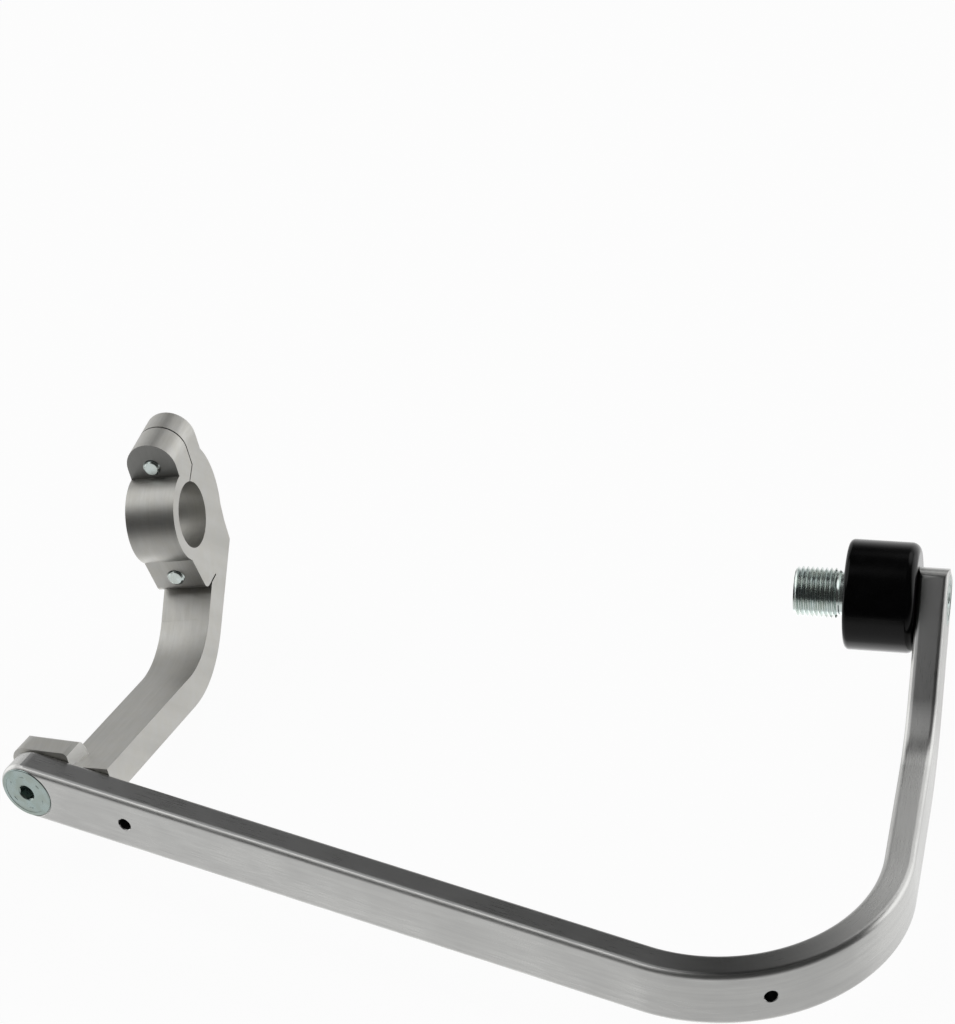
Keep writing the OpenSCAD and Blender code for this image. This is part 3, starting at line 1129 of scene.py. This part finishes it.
@dataclass
class CountersunkBolt:
    """A countersunk socket bolt, head face at the origin, running along +Z.

    Its sizes are in millimetres, and slope is the head's depth for each
    millimetre of its radius.
    """

    name: str
    length: float
    head: float
    frame: Matrix
    shank: float = 4.0
    slope: float = 0.92
    rim: float = 0.4
    socket_width: float = 5.0
    socket_depth: float = 3.0
    socket_ease: float = 0.35
    play: float = 0.2
    seat_ease: float = 1.5
    head_edge: float = 0.35
    tip_edge: float = 0.7
    groove_place: float = 0.9
    groove_width: float = 0.12
    groove_depth: float = 0.10
    marks: int = 6
    mark_place: float = 0.67
    mark_turn: float = 20.0
    mark_size: tuple = (0.45, 1.5, 0.4)
    mark_edge: float = 0.1

    @property
    def depth(self) -> float:
        """Depth of the whole head in millimetres."""
        return self.rim + self.slope * (self.head - self.shank)

    def seat_cutter(self) -> Shape:
        """Make the cutter of the bolt's seat in a plate as thick as the length.

        Returns:
            A shank hole with its countersink, open towards -Z.
        """
        cutter = cone("seat_cutter", self.head, self.shank, self.depth - self.rim)
        put(cutter, shift(0, 0, self.rim))
        outside = shift(0, 0, -THROUGH)
        hole = put(rod("seat_hole", self.shank + self.play, self.length + 2 * THROUGH), outside)
        mouth = put(rod("seat_mouth", self.head + self.play, THROUGH + self.rim), outside)
        reach = self.seat_ease
        ease = cone("seat_ease", self.head + reach, self.head + self.play, reach - self.play)
        put(ease, shift(0, 0, -reach + 2 * self.play))
        for part in (hole, mouth, ease):
            combine(cutter, part, Cut.JOIN)
        return cutter

    def build(self) -> Shape:
        """Model the bolt and carry it to its place.

        Returns:
            The finished bolt.
        """
        bolt = cone(self.name, self.head, self.shank, self.depth - self.rim)
        put(bolt, shift(0, 0, self.rim))
        low, high = self.rim * MM, self.depth * MM
        with Bench(bolt) as bench:
            bench.pick_cap(high, 1)
            bench.pull(0, 0, (self.length - self.depth) * MM)
            bench.pick_cap(low, -1)
            bench.pull(0, 0, -low)
            bench.pick_ring(0.0)
            bench.round_edges(self.head_edge * MM, 3)
            bench.pick_ring(self.length * MM)
            bench.round_edges(self.tip_edge * MM, 1)
            bench.pick_cap(0.0, -1)
            bench.inset(self.groove_place * MM)
            bench.inset(self.groove_width * MM)
            bench.pull(0, 0, self.groove_depth * MM)
        combine(bolt, self.socket(), Cut.AWAY)
        for number in range(self.marks):
            combine(bolt, self.tick(360 * number / self.marks + self.mark_turn), Cut.JOIN)
        put(bolt, self.frame)
        smooth(bolt)
        return bolt

    def socket(self) -> Shape:
        """Make the cutter of the hexagon socket, with its eased mouth."""
        corner = self.socket_width / 2 / math.cos(math.radians(30))
        socket = put(rod("socket", corner, self.socket_depth + THROUGH, 6), shift(0, 0, -THROUGH))
        ease = cone("socket_ease", corner + 1.0, corner - self.socket_ease, 1.3, 48)
        combine(socket, put(ease, shift(0, 0, -0.75)), Cut.JOIN)
        return socket

    def tick(self, angle: float) -> Shape:
        """Make one small raised mark of the head's face."""
        clear_selection()
        bpy.ops.mesh.primitive_cube_add(size=MM)
        tick = take("tick")
        tick.scale = self.mark_size
        fix_place(tick)
        with Bench(tick) as bench:
            bench.pick_all()
            bench.round_edges(self.mark_edge * MM, 2)
        lift = self.mark_size[2] / 2
        return put(tick, turn(angle, "Z") @ shift(self.mark_place * self.head, 0, lift))


@dataclass
class ThreadedRod:
    """A helical thread between two planes on the Z axis, in millimetres.

    The outline is one turn of the thread: how deep each point is as a share of
    the depth, and how far along as a share of the pitch.
    """

    radius: float
    pitch: float
    start: float
    stop: float
    start_radius: float
    stop_radius: float
    steps: int = 64
    depth_share: float = 0.6
    outline: tuple = ((1, 0.0), (1, 0.12), (0, 0.46), (0, 0.58), (1, 0.92), (1, 1.0))

    def build(self, name: str) -> Shape:
        """Wind the thread, trim it at both ends and close it.

        Args:
            name: Name of the new shape.

        Returns:
            A closed threaded rod along +Z.
        """
        depth = self.depth_share * self.pitch
        points = [
            Vector((self.radius - sunk * depth, 0, self.start + (place - 2) * self.pitch)) * MM
            for sunk, place in self.outline
        ]
        clear_selection()
        bpy.ops.mesh.primitive_plane_add(size=MM)
        shape = take(name)
        with Bench(shape) as bench:
            bench.pick(Pick.VERTS, lambda v: True)
            bpy.ops.mesh.merge(type="CENTER")
            bpy.ops.transform.translate(value=points[0])
            for last, point in zip(points, points[1:]):
                bpy.ops.mesh.extrude_vertices_move(TRANSFORM_OT_translate={"value": point - last})
        modify(
            shape, "SCREW", axis="Z", angle=math.tau, screw_offset=self.pitch * MM,
            iterations=math.ceil((self.stop - self.start) / self.pitch) + 3,
            steps=self.steps, render_steps=self.steps, use_merge_vertices=True, merge_threshold=TINY,
        )
        self.trim(shape)
        return shape

    def trim(self, shape: Shape) -> None:
        """Lay the thread's ends on their planes, with a run-out at each."""
        start, stop = self.start * MM, self.stop * MM
        for vertex in shape.data.vertices:
            point = vertex.co
            low = self.start_radius * MM + max(0.0, point.z - start)
            high = self.stop_radius * MM + max(0.0, stop - point.z)
            radius = min(radius_of(point), low, high)
            if point.z <= start:
                radius = self.start_radius * MM
            if point.z >= stop:
                radius = self.stop_radius * MM
            share = radius / radius_of(point)
            vertex.co = (point.x * share, point.y * share, min(stop, max(start, point.z)))
        with Bench(shape) as bench:
            bench.tidy(2 * TINY)
            bpy.ops.mesh.dissolve_degenerate(threshold=TINY)
            for height in (start, stop):
                bench.pick_ring(height)
                bpy.ops.mesh.edge_face_add()
            bench.tidy(TINY)


@dataclass
class ClampScrew:
    """A socket-head clamp screw, tip at the origin, running along +Z, in millimetres."""

    name: str
    length: float
    frame: Matrix
    radius: float = 3.0
    head_radius: float = 5.0
    head_height: float = 6.0
    head_edge: float = 0.5
    foot_edge: float = 0.2
    flutes: int = 36
    flute_depth: float = 0.2
    socket_width: float = 5.0
    socket_depth: float = 3.0
    pitch: float = 1.0

    def build(self) -> Shape:
        """Model shank, thread and knurled head, and carry them to their place.

        Returns:
            The finished screw.
        """
        head = rod(self.name, self.head_radius, self.head_height, 2 * self.flutes)
        with Bench(head) as bench:
            bench.pick_ring(self.head_height * MM)
            bench.round_edges(self.head_edge * MM, 3)
            bench.pick_ring(0.0)
            bench.round_edges(self.foot_edge * MM, 1)
        share = 1 - self.flute_depth / self.head_radius
        for vertex in head.data.vertices:
            if radius_of(vertex.co) > self.head_radius * MM - TINY:
                angle = math.degrees(math.atan2(vertex.co.y, vertex.co.x))
                if round(angle * self.flutes / 180) % 2:
                    vertex.co.x *= share
                    vertex.co.y *= share
        combine(head, self.socket(), Cut.AWAY)
        put(head, shift(0, 0, self.length))
        thread = ThreadedRod(
            self.radius, self.pitch, 0, self.length + 0.5, self.radius - 0.8, self.radius - 0.4
        )
        combine(head, thread.build("screw_thread"), Cut.JOIN)
        put(head, self.frame @ turn(-90, "X"))
        smooth(head, 35)
        return head

    def socket(self) -> Shape:
        """Make the cutter of the head's hexagon socket, with its eased mouth."""
        corner = self.socket_width / 2 / math.cos(math.radians(30))
        socket = rod("screw_socket", corner, self.socket_depth + THROUGH, 6)
        put(socket, shift(0, 0, self.head_height - self.socket_depth))
        ease = cone("screw_ease", corner - 0.3, corner + 0.7, 1.0, 48)
        combine(socket, put(ease, shift(0, 0, self.head_height - 0.55)), Cut.JOIN)
        return socket


@dataclass
class HandlebarClamp:
    """The machined arm and the cap that close on the handlebar, with two screws.

    Faces within near of a place, in millimetres, count as the spot face, which is darkened,
    or as the seat's end face, which carries a painted highlight.
    """

    sizes: GuardSizes
    edge: float = 0.35
    edge_steps: int = 2
    edge_angle: float = 32.0
    spot_above: float = 14.0
    seat_end: float = 12.8
    seat_width: float = 12.0
    near: float = 0.3

    def eased(self, frame: dict, node: str, name: str) -> Shape:
        """Copy a solid and ease its sharp edges.

        Args:
            node: The solid's node.
            name: Name of the new piece.

        Returns:
            The finished piece.
        """
        piece = solid_copy(frame, node, name)
        modify(
            piece, "BEVEL", width=self.edge * MM, segments=self.edge_steps, limit_method="ANGLE",
            angle_limit=math.radians(self.edge_angle), use_clamp_overlap=True,
        )
        self.tell_faces(piece)
        smooth(piece)
        return piece

    def tell_faces(self, piece: Shape) -> None:
        """Mark the spot face round the upper screw, which is darkened, and the seat's end face, which carries
        a painted highlight.
        """
        tone = piece.data.attributes.new("tone", "FLOAT", "FACE")
        own = self.sizes.clamp_frame.inverted()
        seat = (self.sizes.bar_frame @ shift(0, self.sizes.bar_thickness, 0)
                @ turn(-self.sizes.arm_tilt, "Y")).inverted()
        for face in piece.data.polygons:
            spot, end = own @ face.center, seat @ face.center
            # The spot face round the upper screw, which the finish darkens.
            if abs(spot.y) < self.near * MM and spot.z > self.spot_above * MM:
                tone.data[face.index].value = -1.0
            # The seat's end face, which the finish lifts with a painted highlight.
            elif abs(end.x - self.seat_end * MM) < self.near * MM and 0 < end.y < self.seat_width * MM:
                tone.data[face.index].value = 1.0

    def screws(self) -> list[Shape]:
        """Model the upper and the lower screw.

        Returns:
            The two screws.
        """
        sizes = self.sizes
        made = []
        for name, tip, seat, height in (
            ("clamp_screw_upper_threaded", sizes.screw_tip_up, sizes.screw_seat_up, sizes.screw_up),
            ("clamp_screw_lower_threaded", sizes.screw_tip_down, sizes.screw_seat_down, -sizes.screw_down),
        ):
            place = sizes.clamp_frame @ shift(0, -tip, height)
            made.append(ClampScrew(name, seat + tip, place).build())
        return made


@dataclass
class BarEnd:
    """The round weight and the threaded stud behind the bar's outer end, in millimetres."""

    sizes: GuardSizes
    weight_radius: float = 17.6
    edge_out: float = 3.0
    edge_in: float = 1.6
    edge_seat: float = 0.3
    edge_collar: float = 0.25
    collar_radius: float = 9.5
    collar_depth: float = 2.4
    collar_play: float = 0.6
    bore_radius: float = 7.6
    bolt_play: float = 0.2
    bolt_radius: float = 4.0
    stud_radius: float = 8.0
    stud_length: float = 16.6
    stud_in: float = 14.0
    sleeve_radius: float = 7.5
    relief: float = 2.0
    pitch: float = 1.5
    end_hole: float = 3.3

    @property
    def base(self) -> Matrix:
        """Frame of the weight's outer face."""
        return self.sizes.end_frame @ shift(0, 0, self.sizes.bar_thickness)

    def weight(self) -> Shape:
        """Turn the black weight with its sunk seat for the collar.

        Returns:
            The finished weight.
        """
        length = self.sizes.weight_length
        weight = rod("bar_end_weight_turned", self.weight_radius, length, 128)
        top = length * MM
        rim = (self.collar_radius + self.collar_play) * MM
        with Bench(weight) as bench:
            bench.pick_ring(0.0)
            bench.round_edges(self.edge_out * MM, 10)
            bench.pick_ring(top)
            bench.round_edges(self.edge_in * MM, 6)
            bench.pick_cap(top, 1)
            bench.inset((self.weight_radius - self.edge_in) * MM - rim)
            bench.pull(0, 0, -self.collar_depth * MM)
            bench.inset(rim - self.bore_radius * MM)
            bench.pull(0, 0, -(self.stud_in - self.collar_depth) * MM)
            bench.inset((self.bore_radius - self.bolt_radius - self.bolt_play) * MM)
            bench.pull(0, 0, -(length - self.stud_in) * MM)
            bench.pick(
                Pick.EDGES,
                lambda e: all(v.co.z > top - TINY and abs(radius_of(v.co) - rim) < 5 * TINY for v in e.verts),
            )
            bench.round_edges(self.edge_seat * MM, 2)
        way = put(rod("bolt_way", self.bolt_radius + self.bolt_play, 6.0), shift(0, 0, -3))
        combine(weight, way, Cut.AWAY)
        put(weight, self.base)
        smooth(weight)
        return weight

    def stud(self) -> Shape:
        """Turn the stud's sleeve, collar and relief, and wind its thread.

        Returns:
            The finished stud.
        """
        collar = self.collar_depth
        stud = rod("bar_end_stud_threaded", self.collar_radius, collar)
        tip = collar + self.stud_length
        relief = self.stud_radius - 0.75 * self.pitch
        with Bench(stud) as bench:
            for height in (0.0, collar * MM):
                bench.pick_ring(height)
                bench.round_edges(self.edge_collar * MM, 2)
            bench.pick_cap(collar * MM, 1)
            bench.inset((self.collar_radius - self.edge_collar - relief) * MM)
            bench.pull(0, 0, (self.relief + 0.5) * MM)
            bench.pick_cap(0.0, -1)
            bench.inset((self.collar_radius - self.edge_collar - self.sleeve_radius) * MM)
            bench.pull(0, 0, -(self.stud_in - collar) * MM)
        thread = ThreadedRod(
            self.stud_radius, self.pitch, collar + self.relief - 0.2, tip, relief - 0.1,
            self.stud_radius - 0.9,
        )
        combine(stud, thread.build("stud_thread"), Cut.JOIN)
        for tool in self.stud_cutters(tip):
            combine(stud, tool, Cut.AWAY)
        put(stud, self.base @ shift(0, 0, self.sizes.weight_length - collar))
        smooth(stud, 40)
        return stud

    def stud_cutters(self, tip: float) -> list[Shape]:
        """Make the cutters of the stud's bore, end hole and eased mouth."""
        bore = rod("stud_bore", self.bolt_radius, self.stud_in + 4.4)
        put(bore, shift(0, 0, -self.stud_in))
        hole = rod("stud_hole", self.end_hole, tip + 2)
        ease = cone("stud_ease", self.end_hole, self.end_hole + 1.5, 1.5)
        put(ease, shift(0, 0, tip - 0.6))
        return [bore, hole, ease]


@dataclass(frozen=True)
class PhotoCamera:
    """The photograph's camera, solved on the guard, in millimetres and degrees."""

    pivot: tuple = (113.9, -23.2, -27.0)
    azimuth: float = 31.39
    elevation: float = 36.65
    roll: float = -4.92
    aside: float = -12.12
    above: float = -62.78
    distance: float = 1280.95
    focal_pixels: float = 3991.0
    picture_height: float = 1024.0
    sensor: float = 36.0
    near: float = 50.0
    far: float = 20000.0

    def build(self) -> None:
        """Make the camera and hand it to the scene."""
        across, lift = math.radians(self.azimuth), math.radians(self.elevation)
        right = Vector((math.cos(across), math.sin(across), 0))
        inward = Vector((-math.sin(across), math.cos(across), 0))
        upward = inward * math.sin(lift) + Vector((0, 0, math.cos(lift)))
        back = right.cross(upward)
        spin = Matrix.Rotation(math.radians(self.roll), 3, back)
        right, upward = spin @ right, spin @ upward
        eye = Vector(self.pivot) + back * self.distance - right * self.aside - upward * self.above
        data = bpy.data.cameras.new("photo camera")
        data.sensor_width = self.sensor
        data.lens = self.sensor * self.focal_pixels / self.picture_height
        data.clip_start, data.clip_end = self.near * MM, self.far * MM
        camera = bpy.data.objects.new("photo camera", data)
        bpy.context.scene.collection.objects.link(camera)
        axes = Matrix((right, upward, back)).transposed().to_4x4()
        camera.matrix_world = Matrix.Translation(eye * MM) @ axes
        bpy.context.scene.camera = camera


@dataclass(frozen=True)
class Glow:
    """A soft round patch of the room, by its direction and its two angles."""

    azimuth: float
    elevation: float
    inner: float
    outer: float
    level: float

    @property
    def axis(self) -> Vector:
        """Direction of the patch's middle, seen from the guard."""
        around, up = math.radians(self.azimuth), math.radians(self.elevation)
        return Vector((math.cos(around) * math.cos(up), math.sin(around) * math.cos(up), math.sin(up)))


@dataclass
class Studio:
    """A white floor in a room that is white below and dark above, with soft boxes.

    The camera sees the room as plain white. Its levels are what the metal
    mirrors, so each glow lights the faces that turn to it.
    """

    floor_height: float = -0.056
    floor_size: float = 12.0
    floor_glow: float = 0.95
    floor_tone: float = 0.85
    dark: float = 0.05
    paper: float = 0.88
    paper_below: float = -0.5
    dark_above: float = -0.03
    lamp_place: Point = (0.1, 0.2, 1.6)
    lamp_aim: Point = (0.14, -0.03, -0.02)
    lamp_size: float = 0.8
    lamp_power: float = 3.0
    glows: tuple[Glow, ...] = (
        Glow(48, 10, 15, 36, 1.8),
        Glow(80, -34, 38, 72, 1.03),
        Glow(178, 2, 12, 45, 1.6),
        Glow(-162, 54, 18, 33, 1.5),
        Glow(86, 44, 8, 23, 1.25),
        Glow(145, 10, 20, 36, 0.74),
        Glow(128, -70, 22, 42, 1.7),
        Glow(-140, -44, 8, 34, 1.05),
    )

    def build(self) -> None:
        """Set up the view, the world and the floor."""
        scene = bpy.context.scene
        scene.view_settings.view_transform = "Standard"
        self.world(scene)
        self.floor()
        self.lamp()

    def world(self, scene: bpy.types.Scene) -> None:
        """Make the room from its two levels and its soft boxes."""
        world = bpy.data.worlds.new("studio")
        scene.world = world
        world.use_nodes = True
        tree = world.node_tree
        tree.nodes.clear()
        made = Nodes(tree)
        direction = made.add("ShaderNodeTexCoord").outputs["Generated"]
        height = made.apart(direction)[2]
        level = made.spread(height, self.paper_below, self.dark_above, self.paper, self.dark)
        for glow in self.glows:
            rim, core = (math.cos(math.radians(angle)) for angle in (glow.outer, glow.inner))
            patch = made.spread(made.dot(direction, glow.axis), rim, core, 0.0, glow.level)
            level = made.maths("MAXIMUM", level, patch)
        seen = made.add("ShaderNodeLightPath").outputs["Is Camera Ray"]
        strength = made.maths("MULTIPLY_ADD", level, made.maths("SUBTRACT", 1.0, seen), seen)
        background = made.add("ShaderNodeBackground")
        background.inputs["Color"].default_value = grey(1.0)
        made.link(strength, background.inputs["Strength"])
        output = made.add("ShaderNodeOutputWorld")
        made.link(background.outputs[0], output.inputs["Surface"])

    def floor(self) -> None:
        """Lay the white floor, which keeps a faint soft shadow."""
        clear_selection()
        bpy.ops.mesh.primitive_plane_add(size=self.floor_size, location=(0, 0, self.floor_height))
        floor = take("floor")
        material = bpy.data.materials.new("white floor")
        material.use_nodes = True
        tree = material.node_tree
        tree.nodes.clear()
        made = Nodes(tree)
        diffuse = made.add("ShaderNodeBsdfDiffuse")
        diffuse.inputs["Color"].default_value = grey(self.floor_tone)
        glow = made.add("ShaderNodeEmission")
        glow.inputs["Color"].default_value = grey(1.0)
        seen = made.add("ShaderNodeLightPath").outputs["Is Camera Ray"]
        share = made.maths("MULTIPLY", seen, self.floor_glow)
        mix = made.add("ShaderNodeMixShader")
        made.link(share, mix.inputs[0])
        made.link(diffuse.outputs[0], mix.inputs[1])
        made.link(glow.outputs[0], mix.inputs[2])
        output = made.add("ShaderNodeOutputMaterial")
        made.link(mix.outputs[0], output.inputs["Surface"])
        floor.data.materials.append(material)
        floor.visible_glossy = False

    def lamp(self) -> None:
        """Hang the one soft lamp over the guard, unseen in the metal."""
        data = bpy.data.lights.new("top softbox", "AREA")
        data.shape = "RECTANGLE"
        data.size = data.size_y = self.lamp_size
        data.energy = self.lamp_power
        lamp = bpy.data.objects.new("top softbox", data)
        bpy.context.scene.collection.objects.link(lamp)
        lamp.visible_glossy = False
        aim = (Vector(self.lamp_aim) - Vector(self.lamp_place)).to_track_quat("-Z", "Y")
        lamp.matrix_world = Matrix.Translation(self.lamp_place) @ aim.to_matrix().to_4x4()


def main() -> None:
    """Load the frame, and build the guard and its studio."""
    logging.basicConfig(level=logging.INFO, format="%(name)s: %(message)s")
    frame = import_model()
    sizes = GuardSizes()
    groups = Groups()
    finishes = Finishes(
        bar=BrushedBarFinish().build(groups),
        arm=MilledArmFinish(sizes.clamp_frame).build(groups),
        zinc=ZincFinish().build(groups),
        bright=ZincFinish(
            "bright zinc", pale=(0.64, 0.70, 0.69, 1.0), cold=(0.50, 0.58, 0.57, 1.0),
            tinge=(0.57, 0.60, 0.52, 1.0), roughness=0.15,
        ).build(groups),
        black=GlossBlackFinish().build(groups),
    )
    PhotoCamera().build()
    Studio().build()

    dress(GuardBar(sizes).build(), finishes.bar, Slot.BAR, "guard_bar")
    clamp = HandlebarClamp(sizes)
    for node in ("clamp_arm", "clamp_cap"):
        dress(clamp.eased(frame, node, node + "_milled"), finishes.arm, Slot.ARM, node)
    for screw, node in zip(clamp.screws(), ("clamp_screw_upper", "clamp_screw_lower")):
        dress(screw, finishes.bright, Slot.ZINC, node)
    front = sizes.bar_frame @ turn(-90, "X")
    inner = CountersunkBolt("arm_bolt_plated", sizes.inner_bolt, sizes.inner_head / 2, front)
    dress(inner.build(), finishes.zinc, Slot.ZINC, "arm_bolt")
    outer = CountersunkBolt("bar_end_bolt_plated", sizes.outer_bolt, sizes.outer_head / 2, sizes.end_frame)
    dress(outer.build(), finishes.zinc, Slot.ZINC, "bar_end_bolt")
    end = BarEnd(sizes)
    dress(end.weight(), finishes.black, Slot.WEIGHT, "bar_end_weight")
    dress(end.stud(), finishes.bright, Slot.ZINC, "bar_end_stud")


if __name__ == "__main__":
    main()
